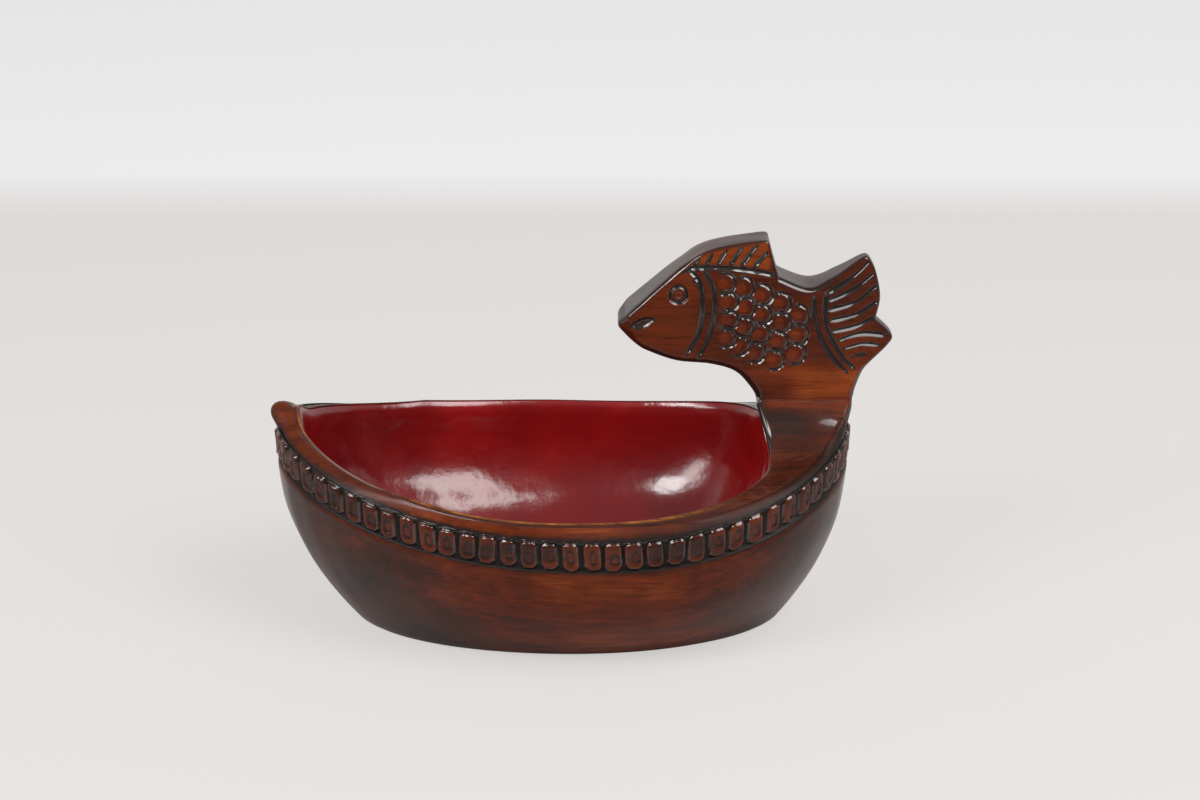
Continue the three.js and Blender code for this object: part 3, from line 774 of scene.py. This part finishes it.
def fish_tint(points):
    """How warm the stain is: most on the dorsal fin and the neck, then on the scales and the head; on the fin it
    is partly painted light, and the neck's lower left has painted shade.
    """
    x, z = points.T
    tint = 0.38 + 0.12 * smooth(-x, 56, 66)
    for centre in SCALES:
        reach = np.hypot(x - centre[0] + 0.6, z - centre[1])
        tint = np.maximum(tint, 0.56 * (1 - smooth(reach, 1.4, 3.6)))
    # Partly painted light: the fin's warmer tint stands in for part of the light its upward-tilted face catches
    fin = smooth(z - np.interp(x, *FIN_FOOT), 0.5, 2) * smooth(-x, 31, 35)
    # Painted shade: the neck is painted darker low down at its left-hand side, above the saddle
    low_left = smooth(-x, 20, 32) * (1 - smooth(z, 3, 12))
    neck = (1 - smooth(z, 9, 19)) * (1 - smooth(-x, 40, 48)) * (1 - 0.35 * low_left)
    return np.maximum.reduce([tint, 0.7 * fin, 0.6 * neck])


def inside_loop(points, loop):
    """Which points lie inside the loop and not too near it."""
    inside = np.zeros(len(points), bool)
    for a, b in zip(loop, np.roll(loop, -1, 0)):
        crosses = (a[1] > points[:, 1]) != (b[1] > points[:, 1])
        with np.errstate(divide="ignore", invalid="ignore"):
            at = a[0] + (points[:, 1] - a[1]) * (b[0] - a[0]) / (b[1] - a[1])
        inside ^= crosses & (points[:, 0] < at)
    tree = kdtree.KDTree(len(loop))
    for index, (px, pz) in enumerate(loop):
        tree.insert((px, pz, 0), index)
    tree.balance()
    return inside & np.array([tree.find((px, pz, 0))[2] > 0.3 for px, pz in points])


def spaced(points, least=0.27, cell_size=0.3):
    """The points, without those that lie too near one before them."""
    keep, taken = [], {}
    for index, (px, pz) in enumerate(points):
        cell = (int(px // cell_size), int(pz // cell_size))
        around = [taken.get((cell[0] + i, cell[1] + j)) for i in (-1, 0, 1) for j in (-1, 0, 1)]
        if all(other is None or (other[0] - px) ** 2 + (other[1] - pz) ** 2 >= least ** 2 for other in around):
            taken[cell] = (px, pz)
            keep.append(index)
    return points[keep]


def face_grid(loop):
    """Points inside the face's loop: rows along every carved line, and an even grid between them."""
    rows = []
    for knots, half_width, _ in carved_lines():
        line = curve_through(knots, 0.42)
        along = np.gradient(line, axis=0)
        side = np.stack([-along[:, 1], along[:, 0]], 1) / np.linalg.norm(along, axis=1)[:, None]
        for shift in (0, -0.35, 0.35, -0.75, 0.75, -1.12, 1.12):
            rows.append(line + side * shift * half_width)
    for centre in SCALES:
        turn = np.linspace(-1.8, 1.75, 30)
        ray = np.stack([np.cos(turn), np.sin(turn)], 1)
        for shift in (-0.75, -0.38, 0.0, 0.5, 1.0, 1.45):
            rows.append(centre + ray * (SCALE_RADIUS + shift))
    turn = np.linspace(0, 2 * math.pi, 40, endpoint=False)
    for reach in (0.6, 1.2, 1.6, 1.95, 2.3, 2.6, 2.9, 3.2, 3.5, 3.85, 4.2):
        ray = np.stack([np.cos(turn), np.sin(turn)], 1)[::1 if reach > 1.5 else 3]
        rows.append(EYE + reach * ray)
    low, high, step = loop.min(0), loop.max(0), 0.56
    x, z = np.meshgrid(np.arange(low[0], high[0], step), np.arange(low[1], high[1], step))
    grid = np.stack([(x + step / 2 * (np.arange(len(z)) % 2)[:, None]).ravel(), z.ravel()], 1)
    points = spaced(np.concatenate([*rows, grid]))
    return points[inside_loop(points, loop)]


def cut_foot(piece):
    """Cuts the fish off flat just under its foot, in the seat, and closes it there."""
    body = bmesh.new()
    body.from_mesh(piece.data)
    cut = bmesh.ops.bisect_plane(body, geom=body.verts[:] + body.edges[:] + body.faces[:], clear_inner=True,
                                 plane_co=(0, 0, (FISH_Z - FISH_SUNK) * MM), plane_no=(0, 0, 1))
    rim = [item for item in cut["geom_cut"] if isinstance(item, bmesh.types.BMEdge)]
    for face in bmesh.ops.holes_fill(body, edges=rim, sides=0)["faces"]:
        face.smooth = False
        for edge in face.edges:
            edge.smooth = False
    bmesh.ops.recalc_face_normals(body, faces=body.faces[:])
    body.to_mesh(piece.data)
    body.free()


def make_fish():
    """The slab: two carved faces, their rounded edges, and the side that joins them."""
    outline = closed_blur(np.concatenate([curve_through(run, 0.45)[:-1] for run in FISH_RUNS]), 1.3)
    normals = outward(outline)
    rounding = edge_rounding(outline, normals)
    loop = outline - normals * rounding[:, None]
    flat = [Vector(point) for point in np.concatenate([loop, face_grid(loop)])]
    border = [(i, (i + 1) % len(loop)) for i in range(len(loop))]
    placed, _, triangles, *_ = geometry.delaunay_2d_cdt(flat, border, [], 1, 1e-5)
    face_points = np.array([tuple(point) for point in placed])
    carved, stain = carve_depth(face_points)
    vertices, faces, finish = [], [], {name: [] for name in PLAIN}

    def add(points, y, **painted):
        start = len(vertices)
        vertices.extend(zip(points[:, 0], y, points[:, 1]))
        for name, values in finish.items():
            values.extend(np.broadcast_to(painted.get(name, 0.0), len(points)))
        return start

    on_tail = smooth(face_points[:, 0], -15, -9)
    gloss = 0.1 + (0.9 - 0.5 * on_tail) * smooth(carved, 0.08, 0.3)
    starts = []
    for side in (-1, 1):
        start = add(face_points, side * uneven_half(face_points, carved), groove=stain,
                    tint=fish_tint(face_points), gloss=gloss)
        order = (0, 1, 2) if side < 0 else (0, 2, 1)
        faces.extend(tuple(start + triangle[k] for k in order) for triangle in triangles)
        starts.append(start)

    def rounded(side):
        """Rings from the face's loop out to the slab's side, each with its angle from the side."""
        for turn in np.linspace(math.pi / 2, 0, 7)[1:]:
            ring = outline - normals * (rounding * (1 - math.cos(turn)))[:, None]
            yield turn, ring, side * (uneven_half(ring) - rounding * (1 - math.sin(turn)))

    near, far, middle = list(rounded(-1)), list(rounded(1))[::-1], []
    for share in (0.15, 0.5, 0.85):
        across = np.column_stack([outline, np.full(len(loop), share * 8)])
        ring = outline + normals * (SLAB_RIPPLE * ripple(across, 12, 9))[:, None]
        middle.append((0.0, ring, lerp(near[-1][2], far[0][2], share)))
    # Painted shade: the belly's underside and the neck's left-hand side are painted dark, most on the slab's side
    underside = smooth(-normals[:, 1], 0.1, 0.7) * smooth(-outline[:, 0], 8, 14)
    neck_left = smooth(-normals[:, 0], 0.3, 0.8) * smooth(-outline[:, 1], -16, -10)
    black = 0.75 * np.maximum(underside, neck_left)
    for turn, ring, y in near + middle + far:
        # Painted shade: the rounded edges are painted darker than the faces, and the slab's side, seen from above
        # as its top, darker still
        tint = lerp(0.2, 0.8, smooth(turn, 0.5, 1.5)) * fish_tint(ring)
        start = add(ring, y, groove=black * (1 - 0.5 * turn), tint=tint,
                    gloss=0.25 + 0.45 * smooth(turn, 0.3, 1.0))
        starts.insert(-1, start)
    for a, b in zip(starts, starts[1:]):
        faces += [(a + i, b + i, b + j, a + j) for i, j in border]
    vertices = np.array(vertices) + (FISH_X, 0, FISH_Z)
    piece = new_piece("carved_fish", vertices, faces, "fish_handle")
    for name, values in finish.items():
        paint(piece, name, values)
    cut_foot(piece)
    return piece


# Colours of the finishes, from dark to light
WOOD_STOPS = ((0.0, (0.014, 0.006, 0.004, 1)), (0.3, (0.045, 0.010, 0.005, 1)),
              (0.55, (0.11, 0.019, 0.005, 1)), (0.8, (0.22, 0.048, 0.010, 1)), (1.0, (0.34, 0.11, 0.028, 1)))
# The black is laid both as stain in the carving and as painted shade
BLACK_STAIN_AND_SHADE = (0.014, 0.011, 0.010, 1)
WORN_WOOD = (0.30, 0.105, 0.022, 1)
LACQUER_RED = (0.17, 0.0022, 0.003, 1), (0.24, 0.0045, 0.005, 1)
BARE_WOOD = (0.34, 0.19, 0.08, 1), (0.52, 0.33, 0.16, 1)

# The table, the wall behind it and the dim room in front, and the first two as the camera sees them
TABLE, WALL, ROOM = (0.57, 0.55, 0.54, 1), (0.77, 0.765, 0.76, 1), (0.10, 0.09, 0.085, 1)
TABLE_SEEN, WALL_SEEN = (0.765, 0.74, 0.725, 1), (0.87, 0.87, 0.88, 1)
WALL_FROM, ROOM_FROM = (0.51, 0.60), (-0.32, -0.18)


class Nodes:
    """Adds nodes to a tree: a value that is a socket is linked, any other is set."""

    def __init__(self, tree):
        self.tree = tree

    def put(self, socket, value):
        if isinstance(value, bpy.types.NodeSocket):
            self.tree.links.new(value, socket)
        else:
            socket.default_value = value

    def add(self, kind, inputs=None, **settings):
        node = self.tree.nodes.new("ShaderNode" + kind)
        for key, value in settings.items():
            setattr(node, key, value)
        for key, value in (inputs or {}).items():
            self.put(node.inputs[key], value)
        return node

    def math(self, operation, a, b=0.0):
        return self.add("Math", {0: a, 1: b}, operation=operation).outputs[0]

    def mix(self, share, a, b, blend="MIX"):
        """Mixes two colours: 0, 6, 7 and 2 are the Mix node's sockets for a share, both colours and the result."""
        return self.add("Mix", {0: share, 6: a, 7: b}, data_type="RGBA", blend_type=blend).outputs[2]

    def span(self, value, low, high, to_low=0.0, to_high=1.0):
        return self.add("MapRange", {"Value": value, "From Min": low, "From Max": high, "To Min": to_low,
                                     "To Max": to_high}).outputs[0]

    def swing(self, noise, size):
        """A noise value brought to swing about zero."""
        return self.math("MULTIPLY", self.math("SUBTRACT", noise, 0.5), size)

    def grey(self, value):
        return self.add("CombineColor", {0: value, 1: value, 2: value}).outputs[0]

    def painted(self, name):
        return self.add("Attribute", attribute_name=name).outputs["Fac"]

    def noise(self, scale, stretch=(1, 1, 1), detail=3.0, rough=0.5, warp=0.0):
        within = self.add("TexCoord").outputs["Object"]
        mapped = self.add("Mapping", {"Vector": within, "Scale": stretch}).outputs[0]
        return self.add("TexNoise", {"Vector": mapped, "Scale": scale, "Detail": detail, "Roughness": rough,
                                     "Distortion": warp}).outputs[0]


def new_group(name, inputs, outputs):
    """An empty node group with named sockets, and its inputs inside."""
    tree = bpy.data.node_groups.new(name, "ShaderNodeTree")
    for label, kind in inputs.items():
        tree.interface.new_socket(name=label, in_out="INPUT", socket_type="NodeSocket" + kind)
    for label, kind in outputs.items():
        tree.interface.new_socket(name=label, in_out="OUTPUT", socket_type="NodeSocket" + kind)
    return Nodes(tree), tree.nodes.new("NodeGroupInput").outputs


def finish_group(nodes, values):
    end = nodes.tree.nodes.new("NodeGroupOutput")
    for label, socket in values.items():
        nodes.tree.links.new(socket, end.inputs[label])
    return nodes.tree


def grain_group():
    """Stained wood with its grain along the dish: a colour that is warmer as its input rises, an input that
    carries the stain's warmth and some painted shade, and a height.
    """
    nodes, given = new_group("stained_grain", {"Tint": "Float", "Contrast": "Float"},
                             {"Color": "Color", "Height": "Float"})
    fine = nodes.noise(1.0, (30, 420, 420), 4.0, 0.6, 0.6)
    broad = nodes.noise(1.0, (8, 60, 75), 3.0, 0.55, 0.8)
    patch = nodes.noise(26.0, detail=3.0, rough=0.6)
    pores = nodes.noise(1.0, (80, 1500, 1500), 2.0, 0.5)
    spread = nodes.math("ADD", nodes.swing(fine, 0.9), nodes.swing(broad, 1.0))
    spread = nodes.math("ADD", spread, nodes.swing(patch, 1.2))
    tone = nodes.math("ADD", given["Tint"], nodes.math("MULTIPLY", spread, given["Contrast"]))
    ramp = nodes.add("ValToRGB", {"Fac": tone})
    elements = ramp.color_ramp.elements
    elements[0].position, elements[0].color = WOOD_STOPS[0]
    elements[1].position, elements[1].color = WOOD_STOPS[-1]
    for position, color in WOOD_STOPS[1:-1]:
        elements.new(position).color = color
    dark = nodes.span(pores, 0.32, 0.42, 0.6, 1.0)
    color = nodes.mix(1.0, ramp.outputs[0], nodes.grey(dark), "MULTIPLY")
    height = nodes.math("ADD", nodes.math("MULTIPLY", fine, 0.6), nodes.math("MULTIPLY", dark, 0.25))
    return finish_group(nodes, {"Color": color, "Height": height})


def coat_group():
    """Slow unevenness of a brushed coat with a quick ripple in it, as a height for the bump."""
    nodes, given = new_group("brushed_coat", {"Fine": "Float"}, {"Height": "Float"})
    slow = nodes.noise(70.0, detail=1.0)
    quick = nodes.noise(330.0, detail=2.0)
    height = nodes.math("ADD", slow, nodes.math("MULTIPLY", quick, given["Fine"]))
    return finish_group(nodes, {"Height": height})


def stain_and_shade_group():
    """Black stain left in the carving, with painted shade in some places, and bare worn wood on the edges, as
    broken masks.
    """
    nodes, given = new_group("antiquing_and_painted_shade", {"Stain_and_shade": "Float", "Wear": "Float"},
                             {"Black": "Float", "Worn": "Float"})
    rub = nodes.noise(420.0, detail=3.0)
    black = nodes.span(nodes.math("ADD", given["Stain_and_shade"], nodes.swing(rub, 0.5)), 0.15, 0.6)
    patch = nodes.noise(1.0, (90, 260, 260), 5.0, 0.7)
    worn = nodes.math("MULTIPLY", given["Wear"], nodes.span(patch, 0.38, 0.62, 0.0, 0.9))
    return finish_group(nodes, {"Black": black, "Worn": worn})


GRAIN, COAT, STAIN_AND_SHADE = grain_group(), coat_group(), stain_and_shade_group()


def new_material(name, roughness):
    material = bpy.data.materials.new(name)
    material.use_nodes = True
    shader = material.node_tree.nodes["Principled BSDF"]
    shader.inputs["Roughness"].default_value = roughness
    return material, Nodes(material.node_tree), shader.inputs, shader.outputs[0]


def wood_material(name, contrast, roughness):
    """Stained wood: grain, black stain with painted shade, and wear under a varnish that is glossy where it was
    rubbed.
    """
    material, nodes, shader, _ = new_material(name, roughness)
    grain = nodes.add("Group", {"Tint": nodes.painted("tint"), "Contrast": contrast}, node_tree=GRAIN).outputs
    coat = nodes.add("Group", {"Fine": 0.16}, node_tree=COAT).outputs
    carving = nodes.add("Group", {"Stain_and_shade": nodes.painted("groove"), "Wear": nodes.painted("wear")},
                        node_tree=STAIN_AND_SHADE).outputs
    color = nodes.mix(carving["Worn"], grain["Color"], WORN_WOOD)
    nodes.put(shader["Base Color"], nodes.mix(carving["Black"], color, BLACK_STAIN_AND_SHADE))
    gloss = nodes.painted("gloss")
    nodes.put(shader["Coat Weight"], gloss)
    nodes.put(shader["Roughness"], nodes.span(gloss, 0.0, 0.6, roughness + 0.24, roughness))
    shader["Specular IOR Level"].default_value = 0.1
    shader["Coat Roughness"].default_value = 0.07
    shader["Coat IOR"].default_value = 1.6
    brushed = nodes.add("Bump", {"Height": coat["Height"], "Distance": 0.00022, "Strength": 0.5})
    pored = nodes.add("Bump", {"Height": grain["Height"], "Distance": 0.00005, "Strength": 0.5,
                               "Normal": brushed.outputs[0]})
    nodes.put(shader["Normal"], pored.outputs[0])
    return material


def lacquer_material():
    """Red lacquer, brushed on, a little cloudy, with painted shade that makes it darker low down and towards the
    tip.
    """
    material, nodes, shader, _ = new_material("red_lacquer", 0.2)
    coat = nodes.add("Group", {"Fine": 0.16}, node_tree=COAT).outputs
    cloud = nodes.span(nodes.noise(34.0, detail=3.0), 0.35, 0.65)
    color = nodes.mix(cloud, *LACQUER_RED)
    nodes.put(shader["Base Color"], nodes.mix(1.0, color, nodes.grey(nodes.painted("tint")), "MULTIPLY"))
    shader["Specular IOR Level"].default_value = 0.7
    bump = nodes.add("Bump", {"Height": coat["Height"], "Distance": 0.0011, "Strength": 0.6})
    nodes.put(shader["Normal"], bump.outputs[0])
    return material


def dowel_material():
    material, nodes, shader, _ = new_material("bare_wood", 0.6)
    grain = nodes.span(nodes.noise(1.0, (700, 700, 40), 3.0), 0.35, 0.65)
    nodes.put(shader["Base Color"], nodes.mix(grain, *BARE_WOOD))
    return material


def floor_material():
    """A pale table in front of a wall; the camera sees it partly in its own colour, so shadows stay faint."""
    material, nodes, shader, surface = new_material("pale_floor", 0.95)
    depth = nodes.add("SeparateXYZ", {"Vector": nodes.add("TexCoord").outputs["Object"]}).outputs["Y"]
    away, near = nodes.span(depth, *WALL_FROM), nodes.span(depth, *ROOM_FROM)
    nodes.put(shader["Base Color"], nodes.mix(near, ROOM, nodes.mix(away, TABLE, WALL)))
    shader["Specular IOR Level"].default_value = 0.0
    glow = nodes.add("Emission", {"Color": nodes.mix(away, TABLE_SEEN, WALL_SEEN)}).outputs[0]
    seen = nodes.math("MULTIPLY", nodes.add("LightPath").outputs["Is Camera Ray"], 0.75)
    both = nodes.add("MixShader", {0: seen, 1: surface, 2: glow}).outputs[0]
    nodes.put(nodes.tree.nodes["Material Output"].inputs["Surface"], both)
    return material


# The camera, in metres and degrees, and where the middle of the underside lies in a picture 1200 by 800
CAMERA_DISTANCE = 1.0
CAMERA_PITCH = math.radians(22)
LENS, SENSOR = 75.0, 36.0
PICTURE_WIDTH, PICTURE_MIDDLE = 1200, (600, 400)
ORIGIN_SEEN = (568.3, 607.7)

# Lamps: name, place, aim, size in metres and power in watts
LAMPS = (
    ("left_box", (-0.7, -0.8, 1.1), (0, 0, 0.05), (0.5, 0.4), 9.4),
    ("right_box", (0.8, -0.6, 1.1), (0, 0, 0.05), (0.8, 1.12), 23.5),
    ("left_strip", (-1.0, -0.7, 0.7), (0, 0, 0.08), (0.4, 0.6), 6),
)


def make_camera():
    data = bpy.data.cameras.new("camera")
    data.lens, data.sensor_width = LENS, SENSOR
    camera = place("camera", data)
    camera.rotation_euler = (math.radians(90) - CAMERA_PITCH, 0, 0)
    pixels = LENS / SENSOR * PICTURE_WIDTH
    aside, up = (PICTURE_MIDDLE[0] - ORIGIN_SEEN[0]) / pixels, (ORIGIN_SEEN[1] - PICTURE_MIDDLE[1]) / pixels
    camera.location = camera.rotation_euler.to_matrix() @ Vector((aside, up, 1)) * CAMERA_DISTANCE
    bpy.context.scene.camera = camera


def make_lamp(name, location, aim, size, power):
    data = bpy.data.lights.new(name, "AREA")
    data.shape = "RECTANGLE"
    data.size, data.size_y = size
    data.energy = power
    lamp = place(name, data)
    lamp.location = location
    lamp.rotation_euler = (Vector(aim) - Vector(location)).to_track_quat("-Z", "Y").to_euler()


def make_world():
    """A pale wall low down behind the dish, a dimmer ceiling, and a dim room in front."""
    world = bpy.data.worlds.new("studio")
    world.use_nodes = True
    nodes = Nodes(world.node_tree)
    way = nodes.add("SeparateXYZ", {"Vector": nodes.add("TexCoord").outputs["Generated"]}).outputs
    low_down = nodes.span(way["Z"], 0.45, 0.8, 1.0, 0.0)
    back = nodes.math("MULTIPLY", nodes.span(way["Y"], -0.4, 0.3), low_down)
    ceiling = nodes.math("MULTIPLY", nodes.span(way["Z"], 0.3, 0.8), 0.25)
    level = nodes.span(nodes.math("MAXIMUM", back, ceiling), 0.0, 1.0, 0.12, 0.95)
    background = world.node_tree.nodes["Background"]
    nodes.put(background.inputs["Color"], (1, 0.985, 0.975, 1))
    nodes.put(background.inputs["Strength"], level)
    bpy.context.scene.world = world


def make_stage():
    far = 6.0
    mesh = bpy.data.meshes.new("floor")
    mesh.from_pydata([(-far, -far, 0), (far, -far, 0), (far, far, 0), (-far, far, 0)], [], [(0, 1, 2, 3)])
    floor = place("floor", mesh)
    floor.data.materials.append(floor_material())
    make_world()
    for lamp in LAMPS:
        make_lamp(*lamp)


make_camera()
make_stage()
make_bowl().data.materials.append(wood_material("stained_bowl", 0.6, 0.16))
make_lining().data.materials.append(lacquer_material())
make_fish().data.materials.append(wood_material("stained_fish", 0.4, 0.14))
dowel_wood = dowel_material()
for node in ("dowel_front", "dowel_rear"):
    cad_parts[node].data.materials.clear()
    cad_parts[node].data.materials.append(dowel_wood)

bpy.context.scene.view_settings.view_transform = "Standard"
